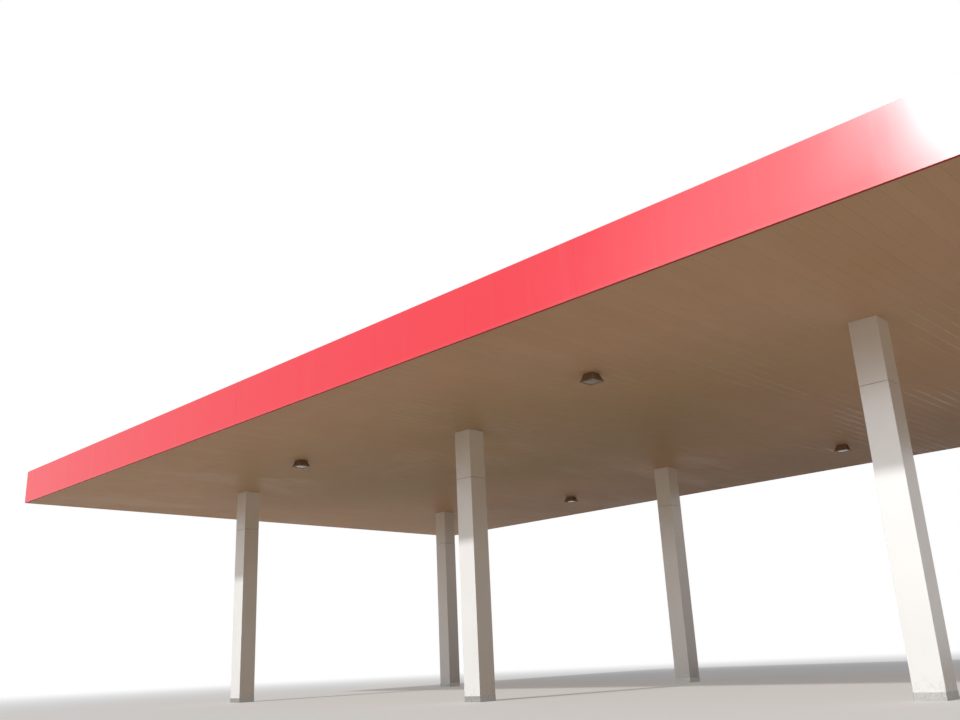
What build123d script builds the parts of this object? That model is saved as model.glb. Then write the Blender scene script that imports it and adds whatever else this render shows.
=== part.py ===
from build123d import *
import math
import os

# Filling station canopy: a flat roof on two rows of square clad columns.
# Steel posts carry tapered girders, and beams tie the girders into a frame.
# Seamed sheets cover it, strip panels close it from below, and red cassettes wrap its edge.
# Millimetres. The origin is at the middle of the plan, level with the column feet.
# +X runs along the canopy, -Y is the long side that faces the viewer, +Z is up.

# Plan and heights
column_names = ["left", "middle", "right"]
row_names = ["front", "rear"]
column_pitch = 12000
row_spacing = 10250
end_overhang = 6000
side_overhang = 6000
soffit_height = 7500
fascia_height = 1200

# Fascia cassettes, the frame behind them and the capping on top
cassette_width = 3000
cassette_sheet = 10
cassette_return = 100
cassette_joint = 4
frame_bar = 50
frame_post_spacing = 3000
capping_thickness = 10
capping_width = 130
capping_downstand = 60
capping_joint = 6

# Soffit strips and what carries them
strip_width = 300
strip_thickness = 40
strip_bevel_width = 6
strip_bevel_height = 12
strip_field_gap = 2
soffit_gap = 5
runner_width = 50
runner_depth = 60
runner_spacing = 1400
runner_column_clearance = 40

# Box lights under the ceiling, each with a sloping housing and a glass in a square frame
light_width = 420
light_seat_width = 270
light_depth = 210
light_frame_height = 30
light_glass_width = 340
light_glass_setback = 12
light_row_offset = 1775

# Steel frame
roof_fall_degrees = 1.75
girder_flange_width = 220
girder_flange_thickness = 20
girder_web = 14
girder_end_plate = 20
edge_beam_depth = 300
edge_beam_width = 200
edge_beam_flange = 14
edge_beam_web = 10
row_beam_width = 180
row_beam_end_plate = 20

# Roof covering
purlin_depth = 150
purlin_flange = 65
purlin_sheet = 6
purlin_spacing = 1500
purlin_ridge_clearance = 150
purlin_gutter_clearance = 120
seam_pitch = 600
seam_width = 24
seam_height = 40
roof_sheet = 8
roof_end_clearance = 10
ridge_gap = 30
ridge_cap_width = 300
ridge_cap_sheet = 6
eave_lap = 40

# Gutters
gutter_wall = 6
gutter_eave_clearance = 10
gutter_end_clearance = 5

# Posts inside the columns
post_width = 300
post_flange = 18
post_web = 12
base_plate_width = 500
base_plate_thickness = 30
anchor_spacing = 380
anchor_hole_radius = 16
gusset_height = 160
gusset_thickness = 12
head_plate_width = 300
head_plate_thickness = 25
collar_thickness = 10
collar_spacing = 2800
collar_foot = 400
collar_joint_gap = 150

# Column cladding and the skirting round its foot
column_width = 600
cladding_sheet = 10
upper_casing_height = 1400
cladding_joint = 8
cladding_corner = 5
skirting_height = 150
skirting_sheet = 6

# How far a cutting block runs past the faces that it cuts
past = 5

# Worked out from the sizes above
column_count = len(column_names)
canopy_length = (column_count - 1) * column_pitch + 2 * end_overhang
canopy_depth = row_spacing + 2 * side_overhang
half_length = canopy_length / 2
half_depth = canopy_depth / 2
column_xs = [(i - (column_count - 1) / 2) * column_pitch for i in range(column_count)]
row_ys = [-row_spacing / 2, row_spacing / 2]

casing_joint_level = soffit_height - upper_casing_height
soffit_top = soffit_height + strip_thickness
beam_base = soffit_top + runner_depth
beam_top = beam_base + edge_beam_depth
fascia_top = soffit_height + fascia_height
cassette_top = fascia_top - capping_thickness

frame_back = cassette_sheet + frame_bar
beam_back = frame_back + edge_beam_width
girder_half = half_depth - beam_back
roof_fall = math.radians(roof_fall_degrees)
ridge_level = beam_top + girder_half * math.tan(roof_fall)

# The turn about +Z that brings the front to each side
side_turns = {"front": 0, "right": 90, "rear": 180, "left": 270}


def block(x0, x1, y0, y1, z0, z1):
    """A square-edged block between two corners."""
    middle = Pos((x0 + x1) / 2, (y0 + y1) / 2, (z0 + z1) / 2)
    return middle * Box(x1 - x0, y1 - y0, z1 - z0)


def prism(plane, points, thickness):
    """An outline drawn on a plane and thickened equally to both sides of it."""
    return extrude(plane * Polygon(*points, align=None), amount=thickness / 2, both=True)


def group(pieces):
    """One sub-part made of several solids that don't touch."""
    return Compound([solid for piece in pieces for solid in piece.solids()])


def spread(low, high, most):
    """Evenly spaced values from low to high, no further apart than most."""
    gaps = max(1, math.ceil((high - low) / most))
    return [low + (high - low) * i / gaps for i in range(gaps + 1)]


def shares(low, high, nominal):
    """The inner division points of a length cut into equal shares near a nominal width."""
    count = max(1, round((high - low) / nominal))
    return [low + (high - low) * i / count for i in range(1, count)]


# Sides of the canopy, drawn as the front and then turned into place

def mitred_bar(run, offset, outer, inner, z0, z1, shortened=0):
    """A bar along one side, from outer to inner behind the face, mitred at both corners."""
    points = [
        (-run / 2 + outer + shortened, -offset + outer),
        (run / 2 - outer - shortened, -offset + outer),
        (run / 2 - inner - shortened, -offset + inner),
        (-run / 2 + inner + shortened, -offset + inner),
    ]
    return prism(Plane.XY.offset((z0 + z1) / 2), points, z1 - z0)


def fascia(run, offset):
    """A row of folded cassettes: flat face, and a return at the foot and at the top."""
    face = mitred_bar(run, offset, 0, cassette_sheet, soffit_height, cassette_top)
    foot = mitred_bar(run, offset, 0, cassette_return, soffit_height, soffit_height + cassette_sheet)
    head = mitred_bar(run, offset, 0, cassette_return, cassette_top - cassette_sheet, cassette_top)
    half_joint = cassette_joint / 2
    back = -offset + cassette_return
    joints = [
        block(x - half_joint, x + half_joint, -offset - past, back + past,
              soffit_height - past, cassette_top + past)
        for x in shares(-run / 2, run / 2, cassette_width)
    ]
    return (face + [foot, head]) - joints


def fascia_frame(run, offset):
    """The ladder frame that carries the cassettes: three rails and a row of posts."""
    low = soffit_height + cassette_sheet
    high = cassette_top - cassette_sheet
    middle = (low + high) / 2
    rails = [
        mitred_bar(run, offset, cassette_sheet, frame_back, z, z + frame_bar)
        for z in (low, middle - frame_bar / 2, high - frame_bar)
    ]
    corner = run / 2 - frame_back - frame_bar
    front = -offset + cassette_sheet
    posts = [
        block(x - frame_bar / 2, x + frame_bar / 2, front, front + frame_bar, low, high)
        for x in spread(-corner, corner, frame_post_spacing)
    ]
    return rails[0] + rails[1:] + posts


def capping(run, offset):
    """The folded flashing along the top of the parapet, with a downstand at its back."""
    top = mitred_bar(run, offset, 0, capping_width, cassette_top, fascia_top, capping_joint)
    downstand = mitred_bar(run, offset, capping_width - capping_thickness, capping_width,
                           cassette_top - capping_downstand, cassette_top, capping_joint)
    return top + downstand


def turned(maker, side):
    """The piece that a maker draws for the front, turned to the side it belongs to."""
    is_long = side in row_names
    run = canopy_length if is_long else canopy_depth
    offset = half_depth if is_long else half_length
    return Rot(0, 0, side_turns[side]) * maker(run, offset)


# Steel frame

def tapered_beam(x, width, flange, web, end_plate, stiffener_ys):
    """A beam along Y with a level foot and a top that falls both ways from the ridge."""
    fall = math.tan(roof_fall)
    top_flange = flange / math.cos(roof_fall)
    reach = girder_half - end_plate
    outline = [
        (-girder_half, beam_base), (girder_half, beam_base), (girder_half, beam_top),
        (0, ridge_level), (-girder_half, beam_top),
    ]
    inner_top = beam_top + end_plate * fall - top_flange
    inside = [
        (-reach, beam_base + flange), (reach, beam_base + flange), (reach, inner_top),
        (0, ridge_level - top_flange), (-reach, inner_top),
    ]
    plane = Plane.YZ.offset(x)
    border = prism(plane, outline, width) - prism(plane, inside, width)
    stiffeners = [
        block(x - width / 2, x + width / 2, y - end_plate / 2, y + end_plate / 2,
              beam_base + flange / 2, ridge_level - (abs(y) + end_plate / 2) * fall - flange / 2)
        for y in stiffener_ys
    ]
    return border + [prism(plane, outline, web)] + stiffeners


def level_beam(x0, x1, y, width):
    """A rolled beam of I section along X, on the level of the girders' feet."""
    foot = block(x0, x1, y - width / 2, y + width / 2, beam_base, beam_base + edge_beam_flange)
    head = block(x0, x1, y - width / 2, y + width / 2, beam_top - edge_beam_flange, beam_top)
    web = block(x0, x1, y - edge_beam_web / 2, y + edge_beam_web / 2, beam_base, beam_top)
    return foot + [head, web]


def long_edge_beam(y_sign):
    """The beam behind the front or rear fascia, which closes the girders' tips."""
    reach = half_length - frame_back
    return level_beam(-reach, reach, y_sign * (girder_half + edge_beam_width / 2), edge_beam_width)


def side_edge_beam(x_sign):
    """The beam behind the left or right fascia, with the girders' own fall."""
    x = x_sign * (half_length - frame_back - edge_beam_width / 2)
    return tapered_beam(x, edge_beam_width, edge_beam_flange, edge_beam_web, girder_end_plate, row_ys)


def row_beams(y):
    """The beams of one column row, between the girders and out to the side edge beams."""
    side_face = half_length - beam_back
    ends = [-side_face]
    for x in column_xs:
        ends += [x - girder_flange_width / 2, x + girder_flange_width / 2]
    ends += [side_face]
    half = row_beam_width / 2
    beams = []
    for x0, x1 in zip(ends[0::2], ends[1::2]):
        plates = [
            block(x, x + row_beam_end_plate, y - half, y + half, beam_base, beam_top)
            for x in (x0, x1 - row_beam_end_plate)
        ]
        beams.append(level_beam(x0, x1, y, row_beam_width) + plates)
    return group(beams)


# Roof covering, drawn level and then laid to the fall

def laid(piece, row):
    """A piece of the front slope laid on the girders, or its mirror on the rear slope."""
    front = Pos(0, 0, ridge_level) * Rot(roof_fall_degrees, 0, 0) * piece
    return front if row == "front" else mirror(front, about=Plane.XZ)


def purlin(y):
    """A channel along X, standing on the girders, open down the slope."""
    reach = half_length - frame_back - roof_end_clearance
    back = y + purlin_flange
    web = block(-reach, reach, back - purlin_sheet, back, 0, purlin_depth)
    foot = block(-reach, reach, y, back, 0, purlin_sheet)
    head = block(-reach, reach, y, back, purlin_depth - purlin_sheet, purlin_depth)
    return web + [foot, head]


def purlins():
    """The purlins of both slopes, from near the ridge to near the gutter."""
    first = -purlin_ridge_clearance - purlin_flange
    last = -(girder_half - purlin_gutter_clearance) / math.cos(roof_fall)
    places = spread(last, first, purlin_spacing)
    return group([laid(purlin(y), row) for row in row_names for y in places])


def roof_profile():
    """The section of the seamed roof across the slope: flat pans between upright seams."""
    reach = half_length - frame_back - roof_end_clearance
    count = round(2 * reach / seam_pitch)
    pitch = 2 * reach / count
    half_seam = seam_width / 2
    seam_top = roof_sheet + seam_height
    points = [(reach, 0), (-reach, 0), (-reach, roof_sheet)]
    for i in range(count):
        middle = -reach + (i + 0.5) * pitch
        points += [
            (middle - half_seam, roof_sheet), (middle - half_seam, seam_top),
            (middle + half_seam, seam_top), (middle + half_seam, roof_sheet),
        ]
    return points + [(reach, roof_sheet)]


def roof_slope():
    """The seamed sheets of one slope, from the ridge to their lap over the gutter."""
    length = (girder_half + eave_lap) / math.cos(roof_fall) - ridge_gap
    section = Plane.XZ.offset(ridge_gap) * Polygon(*roof_profile(), align=None)
    sheet = extrude(section, amount=length, dir=(0, -1, 0))
    return Pos(0, 0, purlin_depth) * sheet


def ridge_cap():
    """The folded flashing on top of the seams along the ridge."""
    reach = half_length - frame_back - roof_end_clearance
    seat = purlin_depth + roof_sheet + seam_height
    under = ridge_level + seat / math.cos(roof_fall)
    over = under + ridge_cap_sheet / math.cos(roof_fall)
    drop = ridge_cap_width * math.tan(roof_fall)
    points = [
        (-ridge_cap_width, under - drop), (0, under), (ridge_cap_width, under - drop),
        (ridge_cap_width, over - drop), (0, over), (-ridge_cap_width, over - drop),
    ]
    return prism(Plane.YZ, points, 2 * reach)


def gutter(y_sign):
    """An open box gutter standing on the long edge beam, behind the fascia frame."""
    reach = half_length - frame_back - gutter_end_clearance
    near, far = sorted([y_sign * girder_half, y_sign * (half_depth - frame_back)])
    top = beam_top + purlin_depth - gutter_eave_clearance
    outside = block(-reach, reach, near, far, beam_top, top)
    inside = block(-reach + gutter_wall, reach - gutter_wall, near + gutter_wall, far - gutter_wall,
                   beam_top + gutter_wall, top + past)
    return outside - inside


# Soffit

def strip_profile(x0, x1):
    """The section of a field of strips: their bevelled edges meet in V grooves."""
    low = x0 + strip_field_gap / 2
    high = x1 - strip_field_gap / 2
    groove_top = soffit_height + strip_bevel_height
    joints = [low] + shares(x0, x1, strip_width) + [high]
    points = [(low, soffit_top), (low, groove_top)]
    for left, right in zip(joints, joints[1:]):
        points += [
            (left + strip_bevel_width, soffit_height), (right - strip_bevel_width, soffit_height),
            (right, groove_top),
        ]
    return points + [(high, soffit_top)]


def soffit_field(x0, x1):
    """Strip panels side by side along Y, with the columns passing through."""
    reach = half_depth - cassette_return - soffit_gap
    panel = prism(Plane.XZ, strip_profile(x0, x1), 2 * reach)
    hole = column_width / 2 + soffit_gap
    columns = [
        block(x - hole, x + hole, y - hole, y + hole, soffit_height - past, soffit_top + past)
        for x in column_xs for y in row_ys if x0 - hole < x < x1 + hole
    ]
    return panel - columns


def soffit_fields():
    """The soffit's fields from left to right, parted on the column lines."""
    edge = half_length - cassette_return - soffit_gap
    lines = [-edge] + column_xs + [edge]
    names = ["left_end", "left_bay", "right_bay", "right_end"]
    return {"soffit_" + name: soffit_field(a, b) for name, a, b in zip(names, lines, lines[1:])}


def ceiling_runners():
    """Bars along X between the strips and the girders, clear of the columns."""
    reach = half_length - cassette_return - soffit_gap
    edge = girder_half + edge_beam_width / 2
    beside = column_width / 2 + runner_column_clearance + runner_width / 2
    row = row_spacing / 2
    outer = spread(row + beside, edge, runner_spacing)
    places = [-y for y in outer] + spread(-row + beside, row - beside, runner_spacing) + outer
    return group([
        block(-reach, reach, y - runner_width / 2, y + runner_width / 2, soffit_top, beam_base)
        for y in places
    ])


def light_places():
    """The ceiling lights: the middle of each bay, outside each column row."""
    middles = [(a + b) / 2 for a, b in zip(column_xs, column_xs[1:])]
    return [(x, y + math.copysign(light_row_offset, y)) for x in middles for y in row_ys]


def ceiling_light(x, y):
    """A box light: a housing that widens downwards to a square frame with a set-back glass."""
    seat = light_seat_width / 2
    rim = light_width / 2
    rim_top = light_frame_height - light_depth
    outline = [
        (-seat, 0), (seat, 0), (rim, rim_top), (rim, -light_depth), (-rim, -light_depth), (-rim, rim_top),
    ]
    housing = prism(Plane.XZ, outline, light_width) & prism(Plane.YZ, outline, light_width)
    glass_opening = Rectangle(light_glass_width, light_glass_width)
    recess = Pos(0, 0, -light_depth) * extrude(glass_opening, amount=light_glass_setback)
    return Pos(x, y, soffit_height) * (housing - recess)


# Columns

def collar(z):
    """A square plate round the post that holds the casing off it."""
    outside = Rectangle(column_width - 2 * cladding_sheet, column_width - 2 * cladding_sheet)
    return Pos(0, 0, z) * extrude(outside - Rectangle(post_width, post_width), amount=collar_thickness)


def collar_levels():
    """Evenly spaced levels up the lower casing, and one just above the joint."""
    lower = spread(collar_foot, casing_joint_level - collar_joint_gap, collar_spacing)
    return lower + [casing_joint_level + collar_joint_gap]


def post(x, y):
    """A steel post of H section with its base plate, gussets, collars and head plate."""
    half = post_width / 2
    head_base = beam_base - head_plate_thickness
    flanges = [
        block(-half, half, near, near + post_flange, base_plate_thickness, head_base)
        for near in (-half, half - post_flange)
    ]
    web = block(-post_web / 2, post_web / 2, -half, half, base_plate_thickness, head_base)
    base_half = base_plate_width / 2
    base = block(-base_half, base_half, -base_half, base_half, 0, base_plate_thickness)
    anchors = (-anchor_spacing / 2, anchor_spacing / 2)
    hole = Cylinder(anchor_hole_radius, base_plate_thickness + 2 * past)
    holes = [Pos(hx, hy, base_plate_thickness / 2) * hole for hx in anchors for hy in anchors]
    head_half = head_plate_width / 2
    head = block(-head_half, head_half, -head_half, head_half, head_base, beam_base)
    gusset_foot = base_half
    gussets = [
        prism(Plane.YZ, [(side * half, base_plate_thickness), (side * gusset_foot, base_plate_thickness),
                         (side * half, base_plate_thickness + gusset_height)], gusset_thickness)
        for side in (-1, 1)
    ]
    collars = [collar(z) for z in collar_levels()]
    steel = web + flanges + [base, head] + gussets + collars
    return Pos(x, y, 0) * (steel - holes)


def folded_square(width, corner):
    """A square outline with its four corners folded over a small flat."""
    square = Rectangle(width, width)
    return chamfer(square.vertices(), corner)


def square_tube(width, wall, corner, z0, z1):
    """A square sleeve with folded outer corners."""
    inside = Rectangle(width - 2 * wall, width - 2 * wall)
    return Pos(0, 0, z0) * extrude(folded_square(width, corner) - inside, amount=z1 - z0)


def cladding(x, y):
    """The column's casing: a tall lower casing and a short upper one, with an open joint."""
    lower = square_tube(column_width, cladding_sheet, cladding_corner,
                        0, casing_joint_level - cladding_joint / 2)
    upper = square_tube(column_width, cladding_sheet, cladding_corner,
                        casing_joint_level + cladding_joint / 2, soffit_top)
    return Pos(x, y, 0) * group([lower, upper])


def skirting(x, y):
    """The plain band round a column's foot."""
    outside = folded_square(column_width + 2 * skirting_sheet, cladding_corner + skirting_sheet)
    inside = folded_square(column_width, cladding_corner)
    return Pos(x, y, 0) * extrude(outside - inside, amount=skirting_height)


def build():
    """Every sub-part by name."""
    nodes = {}
    for row, y in zip(row_names, row_ys):
        for name, x in zip(column_names, column_xs):
            nodes[f"post_{row}_{name}"] = post(x, y)
            nodes[f"cladding_{row}_{name}"] = cladding(x, y)
        nodes[f"row_beams_{row}"] = row_beams(y)
        nodes[f"edge_beam_{row}"] = long_edge_beam(math.copysign(1, y))
        nodes[f"gutter_{row}"] = gutter(math.copysign(1, y))
        nodes[f"roof_sheet_{row}"] = laid(roof_slope(), row)
    nodes["column_skirtings"] = group([skirting(x, y) for x in column_xs for y in row_ys])
    for name, x in zip(column_names, column_xs):
        nodes[f"girder_{name}"] = tapered_beam(x, girder_flange_width, girder_flange_thickness, girder_web,
                                               girder_end_plate, row_ys)
    nodes["edge_beam_left"] = side_edge_beam(-1)
    nodes["edge_beam_right"] = side_edge_beam(1)
    for side in side_turns:
        nodes[f"fascia_{side}"] = turned(fascia, side)
        nodes[f"fascia_frame_{side}"] = turned(fascia_frame, side)
    nodes["parapet_capping"] = group([turned(capping, side) for side in side_turns])
    nodes["purlins"] = purlins()
    nodes["ridge_cap"] = ridge_cap()
    nodes["ceiling_runners"] = ceiling_runners()
    nodes["ceiling_lights"] = group([ceiling_light(x, y) for x, y in light_places()])
    nodes.update(soffit_fields())
    return nodes


os.makedirs("parts", exist_ok=True)
for node_name, shape in build().items():
    export_step(shape, f"parts/{node_name}.step")
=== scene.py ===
import math
import random

import bmesh
import bpy
from mathutils import Matrix, Vector

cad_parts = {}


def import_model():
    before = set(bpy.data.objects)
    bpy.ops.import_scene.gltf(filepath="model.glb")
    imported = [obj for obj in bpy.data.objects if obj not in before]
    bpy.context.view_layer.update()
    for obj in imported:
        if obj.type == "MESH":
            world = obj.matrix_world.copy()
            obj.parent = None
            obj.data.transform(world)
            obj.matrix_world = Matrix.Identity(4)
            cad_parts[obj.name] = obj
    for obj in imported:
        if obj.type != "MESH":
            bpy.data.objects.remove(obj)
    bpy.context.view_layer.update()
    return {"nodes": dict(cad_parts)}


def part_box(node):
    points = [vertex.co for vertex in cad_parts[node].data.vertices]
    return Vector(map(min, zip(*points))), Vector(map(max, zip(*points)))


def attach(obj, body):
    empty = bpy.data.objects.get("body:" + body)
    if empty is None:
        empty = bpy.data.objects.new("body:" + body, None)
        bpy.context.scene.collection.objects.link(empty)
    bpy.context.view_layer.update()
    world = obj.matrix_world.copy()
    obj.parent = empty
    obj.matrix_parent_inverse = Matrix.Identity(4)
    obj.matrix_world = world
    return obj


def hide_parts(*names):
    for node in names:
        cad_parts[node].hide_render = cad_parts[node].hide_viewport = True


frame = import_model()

# Filling station canopy: the finish of its steel, sheets and panels, and its small detail.
# Metres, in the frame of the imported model: X along the canopy, -Y towards the viewer, Z up.

X, Y, Z = range(3)
SIDE_NAMES = ("front", "right", "rear", "left")


def middle_of(node, axis):
    """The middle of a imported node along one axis."""
    low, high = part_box(node)
    return (low[axis] + high[axis]) / 2


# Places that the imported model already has
fascia_low, fascia_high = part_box("fascia_front")
half_length = fascia_high.x
half_depth = -fascia_low.y
soffit_level = fascia_low.z
cassette_top = fascia_high.z
capping_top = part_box("parapet_capping")[1].z
column_xs = [middle_of(f"cladding_front_{name}", X) for name in ("left", "middle", "right")]
row_ys = [middle_of(f"cladding_{row}_middle", Y) for row in ("front", "rear")]
casing_low, casing_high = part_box("cladding_front_left")
column_half = (casing_high.x - casing_low.x) / 2
roof_low, roof_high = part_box("roof_sheet_front")
roof_reach = roof_high.x
eave_distance = -roof_low.y
ridge_cap_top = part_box("ridge_cap")[1].z
lights_low, lights_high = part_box("ceiling_lights")

# Sizes that repeat the construction's own. The ridge cap's width is that of each of its two wings.
CASSETTE_WIDTH = 3.0
CASSETTE_RETURN = 0.100
CASSETTE_JOINT = 0.004
STRIP_WIDTH = 0.300
SOFFIT_GAP = 0.005
LIGHT_WIDTH = 0.420
LIGHT_SEAT_WIDTH = 0.270
LIGHT_FRAME_HEIGHT = 0.030
LIGHT_GLASS_WIDTH = 0.340
LIGHT_GLASS_SETBACK = 0.012
ROOF_FALL = math.radians(1.75)
SEAM_PITCH = 0.600
SEAM_WIDTH = 0.024
SEAM_HEIGHT = 0.040
RIDGE_CAP_WIDTH = 0.300
RIDGE_CAP_SHEET = 0.006

seam_count = round(2 * roof_reach / SEAM_PITCH)
seam_pitch = 2 * roof_reach / seam_count

# The photograph's camera, found from the edges of fascia, soffit and columns
IMAGE_WIDTH = 960
FOCAL_PIXELS = 929.17
CAMERA_PLACE = (18.967, -24.164, 1.123)
VIEW_AZIMUTH = math.radians(133.981)
VIEW_PITCH = math.radians(17.763)
VIEW_ROLL = math.radians(-2.687)
VIEW_REACH = 2000.0
SENSOR_WIDTH = 36.0

# Lights
SUN_FROM = (-0.152, -0.861, 0.485)
SUN_STRENGTH = 2.05
SUN_ANGLE = math.radians(2.4)
SUN_COLOUR = (1.0, 0.995, 0.985)
HAZE_FROM = (-0.237, -0.936, 0.259)
HAZE_STRENGTH = 0.92
HAZE_ANGLE = math.radians(40.0)
HAZE_COLOUR = (0.96, 0.98, 1.0)
FILL_STRENGTH = 0.22
FILL_COLOUR = (0.82, 0.90, 1.0, 1.0)
WHITE = (1.0, 1.0, 1.0, 1.0)
WHITE_STRENGTH = 1.0


# How a channel of a paint chart's colour becomes a linear one

CHART_WHITE = 255
DARK_LIMIT = 0.04045
DARK_DIVISOR = 12.92
CURVE_OFFSET = 0.055
CURVE_POWER = 2.4


def linear(value):
    """One channel of a colour on a paint chart, as a linear value."""
    share = value / CHART_WHITE
    if share <= DARK_LIMIT:
        return share / DARK_DIVISOR
    return ((share + CURVE_OFFSET) / (1 + CURVE_OFFSET)) ** CURVE_POWER


def paint(red, green, blue):
    """A colour written as on a paint chart, as linear values with full alpha."""
    return linear(red), linear(green), linear(blue), 1.0


class Nodes:
    """The node tree of a material or world, with short ways to add and join its nodes."""

    def __init__(self, owner):
        owner.use_nodes = True
        self.tree = owner.node_tree

    def add(self, kind, **settings):
        """A new node with its settings."""
        node = self.tree.nodes.new(kind)
        for key, value in settings.items():
            setattr(node, key, value)
        return node

    def feed(self, socket, value):
        """Joins a socket to another node's output, or sets the socket's own value."""
        if isinstance(value, bpy.types.NodeSocket):
            self.tree.links.new(value, socket)
        else:
            socket.default_value = value

    def maths(self, operation, first, second=0.0):
        """The result of one arithmetic step."""
        node = self.add("ShaderNodeMath", operation=operation)
        self.feed(node.inputs[0], first)
        self.feed(node.inputs[1], second)
        return node.outputs[0]

    def times(self, first, second):
        """The product of two values."""
        return self.maths("MULTIPLY", first, second)

    def remap(self, value, span, to=(0.0, 1.0)):
        """A value brought smoothly from one range to another and held inside it."""
        node = self.add("ShaderNodeMapRange", interpolation_type="SMOOTHSTEP")
        for socket, number in zip(node.inputs, (value, *span, *to)):
            self.feed(socket, number)
        return node.outputs["Result"]

    def blend(self, share, first, second):
        """One colour laid over another by a share."""
        node = self.add("ShaderNodeMix", data_type="RGBA")
        self.feed(node.inputs["Factor"], share)
        self.feed(node.inputs["A"], first)
        self.feed(node.inputs["B"], second)
        return node.outputs["Result"]

    def shader(self, kind, **values):
        """A shader with the values of its sockets, such as Color and Strength."""
        node = self.add(kind)
        for label, value in values.items():
            self.feed(node.inputs[label], value)
        return node.outputs[0]

    def seen_by(self, *kinds):
        """1 for rays of the kinds named, and 0 for all others."""
        rays = self.add("ShaderNodeLightPath")
        seen = rays.outputs[kinds[0]]
        for kind in kinds[1:]:
            seen = self.maths("MAXIMUM", seen, rays.outputs[kind])
        return seen

    def give_out(self, output_kind, share, first, second):
        """Lays one shader over another by a share, and makes that the tree's result."""
        mix = self.add("ShaderNodeMixShader")
        for socket, value in zip(mix.inputs, (share, first, second)):
            self.feed(socket, value)
        self.feed(self.add(output_kind).inputs["Surface"], mix.outputs[0])


class Finish(Nodes):
    """A procedural material: colour, roughness and relief over the canopy's own coordinates."""

    def __init__(self, name, metallic=0.0, specular=0.5, coat=0.0, coat_roughness=0.1):
        self.material = bpy.data.materials.new(name)
        super().__init__(self.material)
        self.surface = self.tree.nodes["Principled BSDF"]
        self.surface.inputs["Metallic"].default_value = metallic
        self.surface.inputs["Specular IOR Level"].default_value = specular
        self.surface.inputs["Coat Weight"].default_value = coat
        self.surface.inputs["Coat Roughness"].default_value = coat_roughness
        self.place = self.add("ShaderNodeTexCoord").outputs["Object"]
        self.normal = None

    def stretched(self, factors):
        """The place on the object, with each axis multiplied."""
        node = self.add("ShaderNodeVectorMath", operation="MULTIPLY")
        self.feed(node.inputs[0], self.place)
        self.feed(node.inputs[1], factors)
        return node.outputs[0]

    def noise(self, scale, detail=3.0, roughness=0.55, stretch=(1, 1, 1)):
        """Soft noise between 0 and 1, with its scale for each metre."""
        node = self.add("ShaderNodeTexNoise")
        self.feed(node.inputs["Vector"], self.stretched(stretch))
        self.feed(node.inputs["Scale"], scale)
        self.feed(node.inputs["Detail"], detail)
        self.feed(node.inputs["Roughness"], roughness)
        return node.outputs["Fac"]

    def cells(self, scale):
        """A value that is constant over each irregular cell."""
        node = self.add("ShaderNodeTexVoronoi")
        self.feed(node.inputs["Vector"], self.place)
        self.feed(node.inputs["Scale"], scale)
        return self.axis(node.outputs["Color"], X)

    def kept(self, label):
        """A value that the mesh keeps for each of its faces."""
        return self.add("ShaderNodeAttribute", attribute_name=label).outputs["Fac"]

    def distance_from(self, spot, stretch):
        """How far a place is from a spot, with each axis multiplied."""
        node = self.add("ShaderNodeVectorMath", operation="DISTANCE")
        self.feed(node.inputs[0], self.stretched(stretch))
        self.feed(node.inputs[1], tuple(place * factor for place, factor in zip(spot, stretch)))
        return node.outputs["Value"]

    def axis(self, vector, index):
        """One of the three values of a vector."""
        node = self.add("ShaderNodeSeparateXYZ")
        self.feed(node.inputs[0], vector)
        return node.outputs[index]

    def height(self):
        """The height above the columns' feet."""
        return self.axis(self.place, Z)

    def along(self):
        """A coordinate that runs along the long sides and, on from it, along the short ones."""
        return self.maths("ADD", self.axis(self.place, X), self.axis(self.place, Y))

    def facing(self, span):
        """How far the upward part of the surface's direction has gone from one value to another."""
        node = self.add("ShaderNodeNewGeometry")
        return self.remap(self.axis(node.outputs["Normal"], Z), span)

    def numbered(self, value, width):
        """A random value for each numbered width along a coordinate."""
        index = self.maths("FLOOR", self.maths("DIVIDE", value, width))
        node = self.add("ShaderNodeTexWhiteNoise", noise_dimensions="1D")
        self.feed(node.inputs["W"], index)
        return node.outputs["Value"]

    def bump(self, relief, distance, strength):
        """Relief on top of what the surface already has."""
        node = self.add("ShaderNodeBump")
        self.feed(node.inputs["Height"], relief)
        self.feed(node.inputs["Distance"], distance)
        self.feed(node.inputs["Strength"], strength)
        if self.normal is not None:
            self.feed(node.inputs["Normal"], self.normal)
        self.normal = node.outputs["Normal"]

    def done(self, colour, roughness):
        """The material, once its colour, roughness and relief are joined to the surface."""
        self.feed(self.surface.inputs["Base Color"], colour)
        self.feed(self.surface.inputs["Roughness"], roughness)
        if self.normal is not None:
            self.feed(self.surface.inputs["Normal"], self.normal)
        return self.material


# Heights up to which dust and splashed dirt lie
FOOT_DUST_HEIGHT = 0.10
SPLASH_TOP = 0.60
SPLASH_FULL = 0.12

# Upward parts of a surface's direction, from none of an effect to all of it
UPWARDS = (0.3, 0.9)
DOWNWARDS = (-0.3, -0.8)

# How far the fascia's underside is darkened with painted shade and dulled, and the darker share of a grain
UNDERSIDE_PAINTED_SHADE = 0.75
UNDERSIDE_DULLNESS = 0.45
GRAIN_SHADE = 0.82

# The range that holds most values of a noise
NOISE_MIDDLE = (0.3, 0.7)


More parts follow.
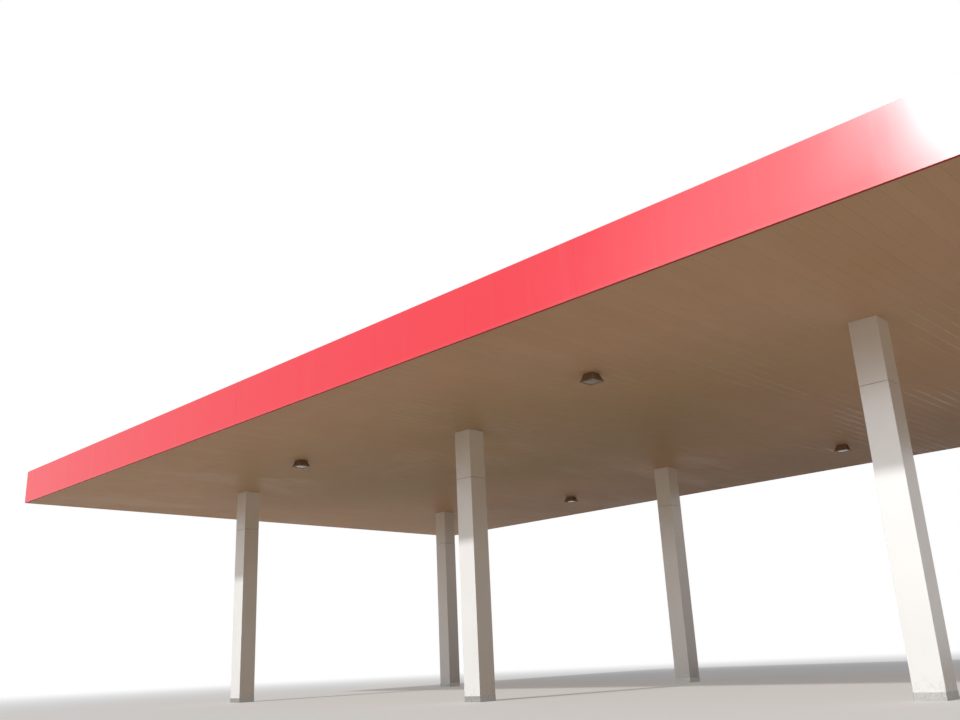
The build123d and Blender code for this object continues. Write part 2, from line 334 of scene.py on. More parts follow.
def fascia_finish(name, dusty_top):
    """Gloss red coated panel: slight waves, rain streaks, dust along the folded foot, and painted shade on
    the faces that point down.
    """
    finish = Finish(name)
    red = paint(238, 54, 70)
    deeper = paint(236, 52, 68)
    dust = paint(206, 150, 140)
    painted_shade_red = paint(122, 30, 36)
    tone = finish.numbered(finish.along(), CASSETTE_WIDTH)
    colour = finish.blend(tone, red, deeper)
    streaks = finish.remap(finish.noise(4.0, stretch=(1, 1, 0.05)), (0.55, 0.85), to=(0.0, 0.08))
    colour = finish.blend(streaks, colour, dust)
    foot = finish.remap(finish.height(), (soffit_level + FOOT_DUST_HEIGHT, soffit_level), to=(0.0, 0.16))
    colour = finish.blend(finish.times(foot, finish.noise(3.0)), colour, dust)
    if dusty_top:
        patches = finish.remap(finish.noise(2.2, detail=4.0), NOISE_MIDDLE, to=(0.10, 0.32))
        colour = finish.blend(finish.times(finish.facing(UPWARDS), patches), colour, dust)
    # Painted shade: faces that point down are darkened towards a deep red.
    underside = finish.facing(DOWNWARDS)
    colour = finish.blend(finish.times(underside, UNDERSIDE_PAINTED_SHADE), colour, painted_shade_red)
    finish.bump(finish.noise(0.6, detail=0.0), distance=0.010, strength=0.12)
    finish.bump(finish.noise(140.0, detail=2.0), distance=0.0003, strength=0.08)
    gloss = finish.remap(finish.noise(0.8, detail=2.0), NOISE_MIDDLE, to=(0.19, 0.22))
    roughness = finish.maths("ADD", gloss, finish.times(underside, UNDERSIDE_DULLNESS))
    return finish.done(colour, roughness)


def casing_finish():
    """Gloss white coated panel of the columns, with a little splashed dirt near the ground."""
    finish = Finish("casing_white", coat=0.8, coat_roughness=0.2)
    white = paint(232, 232, 232)
    warm = paint(229, 229, 228)
    dirt = paint(168, 152, 132)
    colour = finish.blend(finish.remap(finish.noise(0.5, detail=1.0), (0.35, 0.65)), white, warm)
    splash = finish.remap(finish.height(), (SPLASH_TOP, SPLASH_FULL), to=(0.0, 0.26))
    speckle = finish.remap(finish.noise(11.0, detail=5.0, roughness=0.7), (0.44, 0.66))
    colour = finish.blend(finish.times(splash, speckle), colour, dirt)
    drips = finish.remap(finish.noise(7.0, detail=2.0, stretch=(1, 1, 0.03)), (0.60, 0.85), to=(0.0, 0.06))
    colour = finish.blend(drips, colour, dirt)
    finish.bump(finish.noise(0.9, detail=0.0, stretch=(1, 1, 0.5)), distance=0.005, strength=0.10)
    finish.bump(finish.noise(160.0, detail=2.0), distance=0.0002, strength=0.08)
    roughness = finish.remap(finish.noise(1.5, detail=2.0), NOISE_MIDDLE, to=(0.29, 0.34))
    return finish.done(colour, roughness)


# The soffit's painted shade, a darker film over the middle lane: its middle, its shape, twice as long as it
# is wide, and its reach

SHADE_FILM_SPOT = (-2.0, -2.5, 0.0)
SHADE_FILM_STRETCH = (0.5, 1.0, 0.0)
SHADE_FILM_REACH = 8.5
SHADE_FILM_CORE = 2.5


def soffit_finish():
    """Satin coated strips: each tray has its own tone, with light dust and painted shade as a darker film
    over the middle lane.
    """
    finish = Finish("soffit_strip_paint", specular=0.09)
    light = paint(210, 181, 157)
    dark = paint(206, 177, 153)
    painted_shade_tan = paint(168, 152, 122)
    dust = paint(192, 158, 128)
    stain = paint(160, 137, 116)
    colour = finish.blend(finish.kept("tone"), light, dark)
    # Painted shade: a darker tan film that fades out from a spot over the middle lane, broken up by soft
    # noise.
    shade_film = finish.remap(
        finish.distance_from(SHADE_FILM_SPOT, SHADE_FILM_STRETCH), (SHADE_FILM_REACH, SHADE_FILM_CORE), to=(0.10, 0.90))
    cloud = finish.remap(finish.noise(0.11, detail=1.5), (0.36, 0.62), to=(0.75, 1.0))
    colour = finish.blend(finish.times(shade_film, cloud), colour, painted_shade_tan)
    dusty = finish.remap(finish.noise(0.25, stretch=(1, 0.6, 1)), (0.42, 0.72), to=(0.0, 0.25))
    colour = finish.blend(dusty, colour, dust)
    marks = finish.remap(finish.noise(6.0, detail=4.0, stretch=(1, 0.12, 1)), (0.58, 0.80), to=(0.0, 0.10))
    colour = finish.blend(marks, colour, stain)
    finish.bump(finish.noise(1.6, detail=0.0, stretch=(1, 0.3, 1)), distance=0.003, strength=0.10)
    polish = finish.remap(finish.noise(0.45, stretch=(1, 0.35, 1)), (0.50, 0.68), to=(0.0, 0.36))
    satin = finish.remap(finish.noise(2.0, detail=2.0), NOISE_MIDDLE, to=(0.52, 0.60))
    roughness = finish.maths("SUBTRACT", satin, finish.times(finish.kept("fold"), polish))
    return finish.done(colour, roughness)


def roof_finish():
    """Coated seamed sheet: a tone for each pan, and dirt washed down the fall."""
    finish = Finish("roof_sheet_paint", metallic=0.1, specular=0.45)
    light = paint(176, 181, 184)
    dark = paint(164, 169, 173)
    dirt = paint(132, 130, 122)
    dull = paint(148, 145, 136)
    pan_tone = finish.numbered(finish.axis(finish.place, X), seam_pitch)
    colour = finish.blend(pan_tone, light, dark)
    runs = finish.noise(3.0, detail=5.0, roughness=0.6, stretch=(1, 0.09, 1))
    colour = finish.blend(finish.remap(runs, (0.42, 0.74), to=(0.0, 0.36)), colour, dirt)
    mottle = finish.remap(finish.noise(0.7), (0.42, 0.66), to=(0.0, 0.22))
    colour = finish.blend(mottle, colour, dull)
    finish.bump(finish.noise(90.0), distance=0.0004, strength=0.2)
    finish.bump(finish.noise(1.5, detail=1.0, stretch=(1, 0.3, 1)), distance=0.003, strength=0.12)
    roughness = finish.remap(finish.noise(2.0), NOISE_MIDDLE, to=(0.50, 0.62))
    return finish.done(colour, roughness)


def galvanised_finish(name):
    """Galvanised steel with its spangle, dulled in patches."""
    finish = Finish(name, metallic=0.75)
    dark = paint(150, 154, 158)
    light = paint(176, 180, 183)
    dull = paint(128, 130, 130)
    spangle = finish.cells(38.0)
    colour = finish.blend(spangle, dark, light)
    dulled = finish.remap(finish.noise(2.5, detail=4.0), (0.40, 0.70), to=(0.0, 0.55))
    colour = finish.blend(dulled, colour, dull)
    roughness = finish.remap(spangle, (0.0, 1.0), to=(0.38, 0.55))
    finish.bump(finish.noise(60.0, detail=2.0), distance=0.0005, strength=0.2)
    return finish.done(colour, roughness)


def primer_finish():
    """Grey primed steel of the hidden frame, with scuffs."""
    finish = Finish("steel_primer", specular=0.3)
    light = paint(118, 121, 124)
    dark = paint(96, 99, 102)
    rust = paint(112, 78, 58)
    colour = finish.blend(finish.noise(1.6, detail=4.0), light, dark)
    scuff = finish.remap(finish.noise(24.0, detail=4.0, roughness=0.7), (0.62, 0.75), to=(0.0, 0.5))
    colour = finish.blend(scuff, colour, rust)
    finish.bump(finish.noise(70.0), distance=0.0006, strength=0.3)
    return finish.done(colour, roughness=0.6)


def brushed_finish():
    """Brushed steel of the skirtings, with splashes."""
    finish = Finish("skirting_steel", metallic=0.85)
    dark = paint(150, 150, 148)
    light = paint(178, 178, 175)
    mud = paint(140, 124, 104)
    lines = finish.noise(60.0, stretch=(0.05, 0.05, 8.0))
    colour = finish.blend(lines, dark, light)
    splash = finish.remap(finish.noise(16.0, detail=4.0, roughness=0.7), (0.48, 0.66), to=(0.0, 0.6))
    colour = finish.blend(splash, colour, mud)
    finish.bump(lines, distance=0.0003, strength=0.4)
    roughness = finish.remap(lines, NOISE_MIDDLE, to=(0.32, 0.48))
    return finish.done(colour, roughness)


def plain_finish(name, shade, roughness, metallic=0.0, grain=80.0):
    """A small part's paint with a fine grain."""
    finish = Finish(name, metallic=metallic)
    darker = tuple(channel * GRAIN_SHADE for channel in shade[:3]) + (1.0,)
    grainy = finish.noise(grain)
    finish.bump(grainy, distance=0.0003, strength=0.25)
    return finish.done(finish.blend(grainy, shade, darker), roughness)


def put_on(material, *node_names):
    """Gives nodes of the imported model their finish."""
    for name in node_names:
        for material_slot in frame["nodes"][name].material_slots:
            material_slot.material = material


def starting(*beginnings):
    """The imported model's nodes whose names begin in one of these ways."""
    return [name for name in frame["nodes"] if name.startswith(beginnings)]


# Corners and faces gathered into pieces

def placed(name, data):
    """A new object in the scene."""
    made = bpy.data.objects.new(name, data)
    bpy.context.scene.collection.objects.link(made)
    return made


def turn_faces_outwards(mesh):
    """Turns every face of a closed mesh outwards."""
    work = bmesh.new()
    work.from_mesh(mesh)
    bmesh.ops.recalc_face_normals(work, faces=work.faces)
    work.to_mesh(mesh)
    work.free()


class Shape:
    """Corners and faces gathered for one joined mesh."""

    def __init__(self):
        self.corners = []
        self.faces = []
        self.tones = []
        self.folds = []

    def add(self, corners, faces, tone=0.0, folded=()):
        """More faces, with one tone for them all, and the numbers of those that are folds."""
        start = len(self.corners)
        self.corners += [tuple(corner) for corner in corners]
        self.faces += [tuple(start + i for i in face) for face in faces]
        self.tones += [tone] * len(faces)
        self.folds += [1.0 if i in folded else 0.0 for i in range(len(faces))]

    def section(self, outline, place_low, place_high, tone=0.0, folded=()):
        """A closed outline run between two placings, with its ends closed."""
        count = len(outline)
        corners = [place_low(point) for point in outline] + [place_high(point) for point in outline]
        sides = [(i, (i + 1) % count, (i + 1) % count + count, i + count) for i in range(count)]
        ends = [tuple(reversed(range(count))), tuple(range(count, 2 * count))]
        self.add(corners, sides + ends, tone, folded)

    def piece(self, name, material, smooth=False):
        """The finished object, riding on the canopy."""
        mesh = bpy.data.meshes.new(name)
        mesh.from_pydata(self.corners, [], self.faces)
        mesh.validate()
        mesh.update()
        for label, values in (("tone", self.tones), ("fold", self.folds)):
            attribute = mesh.attributes.new(label, "FLOAT", "FACE")
            attribute.data.foreach_set("value", values)
        mesh.materials.append(material)
        made = placed(name, mesh)
        turn_faces_outwards(mesh)
        for polygon in mesh.polygons:
            polygon.use_smooth = smooth
        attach(made, "root")
        return made


def circle(radius, sides):
    """The corners of a regular figure round the middle."""
    angles = [2 * math.pi * i / sides for i in range(sides)]
    return [(radius * math.cos(angle), radius * math.sin(angle)) for angle in angles]


def round_stack(shape, matrix, levels, sides):
    """A turned form: rings of (radius, height), closed at both ends."""
    corners = [matrix @ Vector((x, y, z)) for radius, z in levels for x, y in circle(radius, sides)]
    faces = []
    for ring in range(len(levels) - 1):
        for i in range(sides):
            first = ring * sides + i
            second = ring * sides + (i + 1) % sides
            faces.append((first, second, second + sides, first + sides))
    faces.append(tuple(reversed(range(sides))))
    faces.append(tuple(range(len(corners) - sides, len(corners))))
    shape.add(corners, faces)


# Placings and turns, and the four sides that the fascia, its capping and the soffit's trim follow

NO_TURN = Matrix()
UPSIDE_DOWN = Matrix.Rotation(math.pi, 4, "X")
QUARTER_TURNS = [Matrix.Rotation(math.radians(90 * i), 4, "Z") for i in range(len(SIDE_NAMES))]


def across(y, matrix=NO_TURN):
    """Places a section drawn in X and Z at one Y."""
    return lambda point: matrix @ Vector((point[0], y, point[1]))


def on_level(z, matrix=NO_TURN):
    """Places a plan drawn in X and Y on one level."""
    return lambda point: matrix @ Vector((point[0], point[1], z))


def canopy_sides():
    """For each side of the canopy: its length, its distance from the middle and its turn."""
    long_side = (2 * half_length, half_depth)
    short_side = (2 * half_depth, half_length)
    sizes = [long_side, short_side, long_side, short_side]
    return [(run, offset, turn) for (run, offset), turn in zip(sizes, QUARTER_TURNS)]


def joint_places(run):
    """Where the joints between the cassettes lie along a side of one length."""
    count = round(run / CASSETTE_WIDTH)
    return [-run / 2 + run * i / count for i in range(1, count)]


# Soffit: separate folded trays along Y, cut round the columns

TRAY_GAP = 0.0008
TRAY_BEVEL_WIDTH = 0.0025
TRAY_BEVEL_HEIGHT = 0.0025
TRAY_DEPTH = 0.030
TRAY_SHEET = 0.0015
TRAY_LENGTH = 5.5
TRAY_END_GAP = 0.0012
TRAY_SHORTEST = 0.5
TRAY_NARROWEST = 0.06
TRAY_FOLD_BAND = 0.014
TRAY_TILT = 0.0008
SOFFIT_SEED = 11
hole_half = column_half + SOFFIT_GAP

# Shares of a tray's length at which the first cut comes, by turns from line to line
TRAY_SHIFTS = (1.0, 0.5)

# The bevels and the bands beside them, as numbers of the outline's sides
TRAY_FOLD_SIDES = (1, 2, 4, 5)


def tray_outline(x0, x1, lift):
    """The section of one tray: flat face, bevelled edges and two upstands, as a thin closed outline."""
    base = soffit_level
    bevel_top = base + TRAY_BEVEL_HEIGHT
    top = base + TRAY_DEPTH
    near = x0 + TRAY_BEVEL_WIDTH
    far = x1 - TRAY_BEVEL_WIDTH
    return [
        (x0, top), (x0, bevel_top), (near, base + lift), (near + TRAY_FOLD_BAND, base + lift),
        (far - TRAY_FOLD_BAND, base), (far, base), (x1, bevel_top), (x1, top),
        (x1 - TRAY_SHEET, top), (x1 - TRAY_SHEET, bevel_top), (far - TRAY_SHEET, base + TRAY_SHEET),
        (near + TRAY_SHEET, base + TRAY_SHEET + lift), (x0 + TRAY_SHEET, bevel_top), (x0 + TRAY_SHEET, top),
    ]


def columns_across(x0, x1):
    """The columns whose openings reach between two X."""
    return [x for x in column_xs if x0 < x + hole_half and x1 > x - hole_half]


def tray_lengths(low, high, shift):
    """A run along Y cut into sheet lengths."""
    cuts = [low]
    cut = shift - half_depth
    while cut < high - TRAY_SHORTEST:
        if cut > low + TRAY_SHORTEST:
            cuts.append(cut)
        cut += TRAY_LENGTH
    cuts.append(high)
    return list(zip(cuts, cuts[1:]))


def tray_plan(x0, x1, shift):
    """The pieces of one line of trays as (X, X, Y, Y), cut back beside the columns."""
    reach = half_depth - CASSETTE_RETURN - SOFFIT_GAP
    crossing = columns_across(x0, x1)
    if not crossing:
        return [(x0, x1, low, high) for low, high in tray_lengths(-reach, reach, shift)]
    front, rear = row_ys
    runs = [(-reach, front - hole_half), (front + hole_half, rear - hole_half), (rear + hole_half, reach)]
    plan = [(x0, x1, low, high) for run in runs for low, high in tray_lengths(*run, shift)]
    for x in crossing:
        for left, right in ((x0, x - hole_half), (x + hole_half, x1)):
            if right - left > TRAY_NARROWEST:
                plan += [(left, right, y - hole_half, y + hole_half) for y in row_ys]
    return plan


def soffit_field(name, x0, x1, chance):
    """The trays of one field, in place of the plain grooved slab."""
    shape = Shape()
    count = round((x1 - x0) / STRIP_WIDTH)
    pitch = (x1 - x0) / count
    for i in range(count):
        left = x0 + i * pitch + TRAY_GAP / 2
        right = x0 + (i + 1) * pitch - TRAY_GAP / 2
        shift = TRAY_LENGTH * TRAY_SHIFTS[i % len(TRAY_SHIFTS)]
        for near, far, low, high in tray_plan(left, right, shift):
            tone = chance.random()
            outline = tray_outline(near, far, lift=chance.uniform(0.0, TRAY_TILT))
            first_end = across(low + TRAY_END_GAP / 2)
            last_end = across(high - TRAY_END_GAP / 2)
            shape.section(outline, first_end, last_end, tone, TRAY_FOLD_SIDES)
    made = shape.piece(f"{name}_trays", soffit_paint)
    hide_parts(name)


def soffit():
    """The four fields of the soffit, from left to right."""
    chance = random.Random(SOFFIT_SEED)
    edge = half_length - CASSETTE_RETURN - SOFFIT_GAP
    lines = [-edge] + column_xs + [edge]
    names = ("soffit_left_end", "soffit_left_bay", "soffit_right_bay", "soffit_right_end")
    for name, x0, x1 in zip(names, lines, lines[1:]):
        soffit_field(name, x0, x1, chance)


# A flat trim round the soffit, under the tray ends and the folded foot of the fascia

TRIM_OUTER = 0.062
TRIM_INNER = 0.125
TRIM_SHEET = 0.0013
TRIM_CLEARANCE = 0.0002
TRIM_MITRE_GAP = 0.0005
TRIM_TONE = 0.5


def edge_trim():
    """The four mitred lengths of the trim."""
    shape = Shape()
    high = soffit_level - TRIM_CLEARANCE
    low = high - TRIM_SHEET
    for run, offset, turn in canopy_sides():
        outer_x = run / 2 - TRIM_OUTER - TRIM_MITRE_GAP
        inner_x = run / 2 - TRIM_INNER - TRIM_MITRE_GAP
        outer_y = TRIM_OUTER - offset
        inner_y = TRIM_INNER - offset
        plan = [(-outer_x, outer_y), (outer_x, outer_y), (inner_x, inner_y), (-inner_x, inner_y)]
        shape.section(plan, on_level(low, turn), on_level(high, turn), TRIM_TONE)
    shape.piece("soffit_edge_trim", soffit_paint)


# Ceiling lights: a finned housing that widens downwards, a square frame, and a set-back glass

SCREW_SIDES = 6
FRAME_CHAMFER = 0.004
SHOULDER_IN = 3 * FRAME_CHAMFER
SHOULDER_RISE = 2 * FRAME_CHAMFER
WIRE_HOLE_HALF = 0.01
FIN_COUNT = 7
FIN_THICKNESS = 0.004
FIN_OUT = 0.016
GLASS_CLEARANCE = 0.0005
GLASS_THICKNESS = 0.006
GLASS_DOME = 0.004
FRAME_SCREW_INSET = 0.020

# Rings of (radius, distance out of the frame). The first is sunk in it.
FRAME_SCREW_LEVELS = [(0.006, -0.002), (0.006, 0.001), (0.004, 0.0015), (0.004, 0.0035), (0.003, 0.004)]

# Where the fittings hang
light_x = lights_high.x - LIGHT_WIDTH / 2
light_y = lights_high.y - LIGHT_WIDTH / 2
light_foot = lights_low.z
frame_top = light_foot + LIGHT_FRAME_HEIGHT
light_places = [(x, y) for x in (-light_x, light_x) for y in (-light_y, light_y)]


def square_ring(x, y, half, z):
    """The four corners of a level square."""
    left = x - half
    right = x + half
    near = y - half
    far = y + half
    return [(left, near, z), (right, near, z), (right, far, z), (left, far, z)]


def stacked_squares(shape, x, y, levels):
    """Square rings of (half width, height) joined one to the next, and the last to the first."""
    rings = [square_ring(x, y, half, z) for half, z in levels]
    corners = [corner for ring in rings for corner in ring]
    faces = []
    for k, ring in enumerate(rings):
        sides = len(ring)
        here = k * sides
        there = (k + 1) % len(rings) * sides
        for i in range(sides):
            following = (i + 1) % sides
            faces.append((here + i, here + following, there + following, there + i))
    shape.add(corners, faces)


def housing(shape, x, y):
    """The shell of one light, open towards the glass."""
    outer = LIGHT_WIDTH / 2
    opening = LIGHT_GLASS_WIDTH / 2
    inside_top = frame_top + LIGHT_FRAME_HEIGHT
    stacked_squares(shape, x, y, [
        (LIGHT_SEAT_WIDTH / 2, soffit_level), (outer - SHOULDER_IN, frame_top + SHOULDER_RISE),
        (outer, frame_top), (outer, light_foot + FRAME_CHAMFER), (outer - FRAME_CHAMFER, light_foot),
        (opening + FRAME_CHAMFER, light_foot), (opening, light_foot + FRAME_CHAMFER), (opening, inside_top),
        (WIRE_HOLE_HALF, inside_top), (WIRE_HOLE_HALF, soffit_level),
    ])


def fins(shape, x, y):
    """Cooling fins on the four sloping sides."""
    outer = LIGHT_WIDTH / 2
    seat = LIGHT_SEAT_WIDTH / 2
    fin_top = soffit_level - FIN_THICKNESS
    side = [
        (seat - FIN_OUT, fin_top), (seat + FIN_OUT / 2, fin_top),
        (outer - FIN_THICKNESS, frame_top + FIN_OUT), (outer - FIN_THICKNESS, frame_top),
        (outer - 2 * FIN_OUT, frame_top),
    ]
    for turn in QUARTER_TURNS:
        matrix = Matrix.Translation((x, y, 0)) @ turn
        for i in range(FIN_COUNT):
            middle = (i - (FIN_COUNT - 1) / 2) * 2 * (seat - FIN_OUT) / (FIN_COUNT - 1)
            near = middle - FIN_THICKNESS / 2
            far = middle + FIN_THICKNESS / 2
            shape.section(side, across(near, matrix), across(far, matrix))


def glass(shape, x, y):
    """The glass of one light, a little lower along its middle."""
    half = LIGHT_GLASS_WIDTH / 2 - GLASS_CLEARANCE
    level = light_foot + LIGHT_GLASS_SETBACK
    top = level + GLASS_THICKNESS
    left = x - half
    right = x + half
    outline = [(left, level), (x, level - GLASS_DOME), (right, level), (right, top), (left, top)]
    shape.section(outline, across(y - half), across(y + half))


def frame_screws(shape, x, y):
    """A screw head under each corner of one light's frame."""
    corner = LIGHT_WIDTH / 2 - FRAME_SCREW_INSET
    for dx in (-corner, corner):
        for dy in (-corner, corner):
            place = Matrix.Translation((x + dx, y + dy, light_foot)) @ UPSIDE_DOWN
            round_stack(shape, place, FRAME_SCREW_LEVELS, SCREW_SIDES)


def ceiling_lights():
    """The four light fittings of the canopy."""
    bodies = Shape()
    glasses = Shape()
    screws = Shape()
    for x, y in light_places:
        housing(bodies, x, y)
        fins(bodies, x, y)
        glass(glasses, x, y)
        frame_screws(screws, x, y)
    made = bodies.piece("ceiling_light_housings", housing_paint)
    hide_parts("ceiling_lights")
    glasses.piece("ceiling_light_glasses", cover_glass)
    screws.piece("ceiling_light_screws", screw_zinc)


# Fascia: seals between the cassettes, the capping in lengths, and rivets in the folded foot

SEAL_SETBACK = 0.001
SEAL_THICKNESS = 0.005
CAPPING_WIDTH = 0.130
CAPPING_SHEET = 0.010
CAPPING_DOWNSTAND = 0.060
CAPPING_FOLD = 0.002
CAPPING_JOINT = 0.004
CAPPING_MITRE_GAP = 0.0005
CAPPING_INSET = 0.0001
RIVET_SPACING = 0.5
RIVET_SETBACK = 0.032
RIVET_SIDES = 8

# Rings of (radius, distance below the foot)
RIVET_LEVELS = [(0.0055, 0.0), (0.0050, 0.0012), (0.0025, 0.0022)]


def turned_bar(shape, turn, low, high):
    """A bar drawn between two corners for the front side, and turned to another."""
    outline = [(low[X], low[Z]), (high[X], low[Z]), (high[X], high[Z]), (low[X], high[Z])]
    shape.section(outline, across(low[Y], turn), across(high[Y], turn))


def fascia_seals():
    """The seals between the cassettes, set back a little from face and foot."""
    shape = Shape()
    half = CASSETTE_JOINT / 2
    foot = soffit_level + SEAL_SETBACK
    for run, offset, turn in canopy_sides():
        face = SEAL_SETBACK - offset
        for x in joint_places(run):
            low = (x - half, face, foot)
            turned_bar(shape, turn, low, (x + half, face + SEAL_THICKNESS, cassette_top))
            turned_bar(shape, turn, low, (x + half, CASSETTE_RETURN - offset, foot + SEAL_THICKNESS))
    shape.piece("fascia_joint_seals", red_panel)


def capping_outline():
    """The section of the capping as (depth behind the face, height), with its downstand."""
    back = CAPPING_WIDTH - CAPPING_SHEET
    foot = cassette_top - CAPPING_DOWNSTAND
    fold_level = capping_top - CAPPING_FOLD
    return [
        (CAPPING_FOLD, capping_top), (0.0, fold_level), (0.0, cassette_top), (back, cassette_top),
        (back, foot), (CAPPING_WIDTH, foot), (CAPPING_WIDTH, fold_level),
        (CAPPING_WIDTH - CAPPING_FOLD, capping_top),
    ]


def capping_end(run, offset, turn, joint, side):
    """Places a section at a joint's edge, or on the mitre where there is no joint."""
    def at_end(point):
        depth, height = point
        if joint is None:
            x = side * (run / 2 - depth - CAPPING_INSET - CAPPING_MITRE_GAP)
        else:
            x = joint - side * CAPPING_JOINT / 2
        return turn @ Vector((x, depth + CAPPING_INSET - offset, height))
    return at_end


def capping_lengths():
    """The capping in lengths that part over the cassettes' joints."""
    shape = Shape()
    outline = capping_outline()
    for run, offset, turn in canopy_sides():
        ends = [None] + joint_places(run) + [None]
        for low, high in zip(ends, ends[1:]):
            first_end = capping_end(run, offset, turn, low, -1)
            last_end = capping_end(run, offset, turn, high, 1)
            shape.section(outline, first_end, last_end)
    made = shape.piece("parapet_capping_lengths", red_capping)
    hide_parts("parapet_capping")


def foot_rivets():
    """Rivets that hold the cassettes' folded foot to the frame above it."""
    shape = Shape()
    for run, offset, turn in canopy_sides():
        for i in range(round(run / RIVET_SPACING)):
            x = (i + 0.5) * RIVET_SPACING - run / 2
            place = turn @ Matrix.Translation((x, RIVET_SETBACK - offset, soffit_level)) @ UPSIDE_DOWN
            round_stack(shape, place, RIVET_LEVELS, RIVET_SIDES)
    shape.piece("fascia_foot_rivets", red_panel)


# Roof: screws through the ridge cap, closure plates under its edges, and beads along the seams

SCREW_WASHER_RADIUS = 0.009
SCREW_WASHER_HEIGHT = 0.002
SCREW_SHOULDER = 0.0005
SCREW_HEAD_RADIUS = 0.005
SCREW_HEAD_HEIGHT = 0.005
SCREW_EDGE = 0.030

# Rings of (radius, height above the cap): washer, then head
RIDGE_SCREW_LEVELS = [
    (SCREW_WASHER_RADIUS, 0.0), (SCREW_WASHER_RADIUS, SCREW_WASHER_HEIGHT),
    (SCREW_HEAD_RADIUS, SCREW_WASHER_HEIGHT + SCREW_SHOULDER),
    (SCREW_HEAD_RADIUS, SCREW_WASHER_HEIGHT + SCREW_HEAD_HEIGHT),
]

CLOSURE_SETBACK = 0.025
CLOSURE_SHEET = 0.0015
CLOSURE_CLEARANCE = 0.0008
BEAD_RADIUS = 0.016
BEAD_SINK = BEAD_RADIUS / 2
BEAD_SIDES = 8
BEAD_SETBACK = 0.020

# The signs of Y on the front slope and the rear one
ROOF_SLOPES = (-1, 1)


def fallen(level, distance):
    """A level at the ridge, brought down the roof's fall to a distance from it."""
    return level - distance * math.tan(ROOF_FALL)


def seam_places():
    """The X of each standing seam."""
    return [-roof_reach + (i + 0.5) * seam_pitch for i in range(seam_count)]


def ridge_screws():
    """Washered screws through both edges of the ridge cap into each seam."""
    shape = Shape()
    y = RIDGE_CAP_WIDTH - SCREW_EDGE
    z = fallen(ridge_cap_top, y)
    for side in ROOF_SLOPES:
        for x in seam_places():
            matrix = Matrix.Translation((x, side * y, z)) @ Matrix.Rotation(-side * ROOF_FALL, 4, "X")
            round_stack(shape, matrix, RIDGE_SCREW_LEVELS, SCREW_SIDES)
    shape.piece("ridge_cap_screws", screw_zinc)


def ridge_closures():
    """Upright plates that close each pan under the edge of the ridge cap."""
    shape = Shape()
    edges = [-roof_reach] + seam_places() + [roof_reach]
    y = RIDGE_CAP_WIDTH - CLOSURE_SETBACK
    top = fallen(ridge_cap_top - RIDGE_CAP_SHEET, y) - CLOSURE_CLEARANCE
    foot = top - SEAM_HEIGHT + 2 * CLOSURE_CLEARANCE
    for side in ROOF_SLOPES:
        for x0, x1 in zip(edges, edges[1:]):
            low_x = x0 + SEAM_WIDTH / 2
            high_x = x1 - SEAM_WIDTH / 2
            outline = [(low_x, foot), (high_x, foot), (high_x, top), (low_x, top)]
            shape.section(outline, across(side * y), across(side * (y - CLOSURE_SHEET)))
    shape.piece("ridge_closures", roof_paint)


def bead_end(x, side, distance):
    """Places a bead's section on the seam at one X, at a distance from the ridge."""
    level = fallen(ridge_cap_top - RIDGE_CAP_SHEET - BEAD_SINK, distance)
    return lambda point: (x + point[0], side * distance, level + point[1])


def seam_beads():
    """The folded bead along the top of each standing seam of both slopes."""
    shape = Shape()
    outline = circle(BEAD_RADIUS, BEAD_SIDES)
    near = RIDGE_CAP_WIDTH + BEAD_SETBACK
    far = eave_distance - BEAD_SETBACK
    for side in ROOF_SLOPES:
        for x in seam_places():
            shape.section(outline, bead_end(x, side, near), bead_end(x, side, far))
    shape.piece("roof_seam_beads", roof_paint, smooth=True)


# Stage, lights and camera. The floor's own colour is what is seen, and the bounce is what it throws back.

FLOOR_RADIUS = 900.0
FLOOR_SIDES = 96
FLOOR_DROP = 0.001
FLOOR_FADE_START = 17.0
FLOOR_FADE_END = 60.0
FLOOR_WHITENESS = 0.22
FLOOR_COLOUR = (0.84, 0.82, 0.79, 1.0)
FLOOR_BOUNCE = (0.67, 0.54, 0.40, 1.0)


def floor_finish():
    """Pale where it is seen, tan in the light that it throws back, and white far from the canopy."""
    material = bpy.data.materials.new("floor_pale")
    nodes = Nodes(material)
    nodes.tree.nodes.clear()
    seen = nodes.seen_by("Is Camera Ray", "Is Glossy Ray")
    length = nodes.add("ShaderNodeVectorMath", operation="LENGTH")
    nodes.feed(length.inputs[0], nodes.add("ShaderNodeTexCoord").outputs["Object"])
    span = (FLOOR_FADE_START, FLOOR_FADE_END)
    whiteness = nodes.remap(length.outputs["Value"], span, to=(FLOOR_WHITENESS, 1.0))
    matt = nodes.shader("ShaderNodeBsdfDiffuse", Color=nodes.blend(seen, FLOOR_BOUNCE, FLOOR_COLOUR))
    glow = nodes.shader("ShaderNodeEmission", Strength=WHITE_STRENGTH)
    nodes.give_out("ShaderNodeOutputMaterial", nodes.times(whiteness, seen), matt, glow)
    return material


def floor():
    """A pale round floor that fades into the white background."""
    mesh = bpy.data.meshes.new("floor")
    corners = [(x, y, -FLOOR_DROP) for x, y in circle(FLOOR_RADIUS, FLOOR_SIDES)]
    mesh.from_pydata(corners, [], [tuple(range(FLOOR_SIDES))])
    mesh.materials.append(floor_finish())
    made = placed("floor", mesh)


def world():
    """Soft even fill, seen as white behind the canopy and in its reflections."""
    made = bpy.data.worlds.new("studio")
    bpy.context.scene.world = made
    nodes = Nodes(made)
    nodes.tree.nodes.clear()
    seen = nodes.seen_by("Is Camera Ray", "Is Glossy Ray", "Is Transmission Ray")
    fill = nodes.shader("ShaderNodeBackground", Color=FILL_COLOUR, Strength=FILL_STRENGTH)
    backdrop = nodes.shader("ShaderNodeBackground", Color=WHITE, Strength=WHITE_STRENGTH)
    nodes.give_out("ShaderNodeOutputWorld", seen, fill, backdrop)


def lamp(name, direction, strength, angle, colour):
    """A distant soft lamp that stands in a direction."""
    data = bpy.data.lights.new(name, "SUN")
    data.energy = strength
    data.angle = angle
    data.color = colour
    made = placed(name, data)
    made.rotation_euler = Vector(direction).to_track_quat("Z", "Y").to_euler()


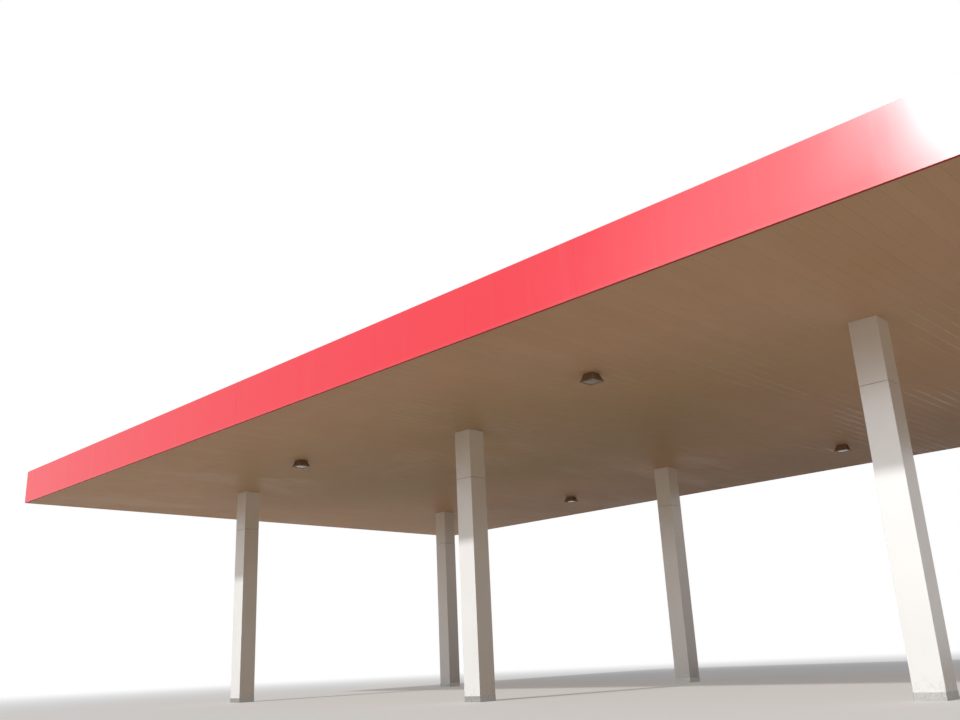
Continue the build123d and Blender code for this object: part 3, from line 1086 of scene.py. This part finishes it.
def lamps():
    """A key from the front left, low enough to reach in under the roof, and a wide glow round it."""
    lamp("key", SUN_FROM, SUN_STRENGTH, SUN_ANGLE, SUN_COLOUR)
    lamp("glow", HAZE_FROM, HAZE_STRENGTH, HAZE_ANGLE, HAZE_COLOUR)


def camera():
    """The camera at the photograph's place and angle."""
    data = bpy.data.cameras.new("camera")
    data.sensor_fit = "HORIZONTAL"
    data.sensor_width = SENSOR_WIDTH
    data.lens = FOCAL_PIXELS / IMAGE_WIDTH * SENSOR_WIDTH
    data.clip_end = VIEW_REACH
    made = placed("camera", data)
    level = math.cos(VIEW_PITCH)
    forward = Vector((math.cos(VIEW_AZIMUTH) * level, math.sin(VIEW_AZIMUTH) * level, math.sin(VIEW_PITCH)))
    right = Vector((math.sin(VIEW_AZIMUTH), -math.cos(VIEW_AZIMUTH), 0.0))
    up = right.cross(forward)
    turned_right = math.cos(VIEW_ROLL) * right + math.sin(VIEW_ROLL) * up
    turned_up = math.cos(VIEW_ROLL) * up - math.sin(VIEW_ROLL) * right
    rotation = Matrix((turned_right, turned_up, -forward)).transposed()
    made.matrix_world = Matrix.Translation(CAMERA_PLACE) @ rotation.to_4x4()
    bpy.context.scene.camera = made


# The finishes, each made once
red_panel = fascia_finish("fascia_red_panel", dusty_top=False)
red_capping = fascia_finish("capping_red_panel", dusty_top=True)
white_casing = casing_finish()
soffit_paint = soffit_finish()
roof_paint = roof_finish()
gutter_zinc = galvanised_finish("gutter_zinc")
frame_zinc = galvanised_finish("frame_zinc")
steel_primer = primer_finish()
skirting_steel = brushed_finish()
housing_paint = plain_finish("light_housing_paint", paint(150, 128, 106), roughness=0.45)
cover_glass = plain_finish("light_glass_dark", paint(140, 124, 106), roughness=0.15, grain=12.0)
screw_zinc = plain_finish("screw_zinc", paint(120, 122, 122), roughness=0.4, metallic=0.8)

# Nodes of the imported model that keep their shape
put_on(red_panel, *[f"fascia_{side}" for side in SIDE_NAMES])
put_on(frame_zinc, *[f"fascia_frame_{side}" for side in SIDE_NAMES])
put_on(white_casing, *starting("cladding_"))
put_on(skirting_steel, "column_skirtings")
put_on(roof_paint, "roof_sheet_front", "roof_sheet_rear", "ridge_cap")
put_on(gutter_zinc, "gutter_front", "gutter_rear", "purlins", "ceiling_runners")
put_on(steel_primer, *starting("post_", "girder_", "row_beams_", "edge_beam_"))

# Pieces with detail of their own
soffit()
edge_trim()
ceiling_lights()
fascia_seals()
capping_lengths()
foot_rivets()
ridge_screws()
ridge_closures()
seam_beads()

# What stands round the canopy
floor()
world()
lamps()
camera()
bpy.context.scene.view_settings.view_transform = "Standard"
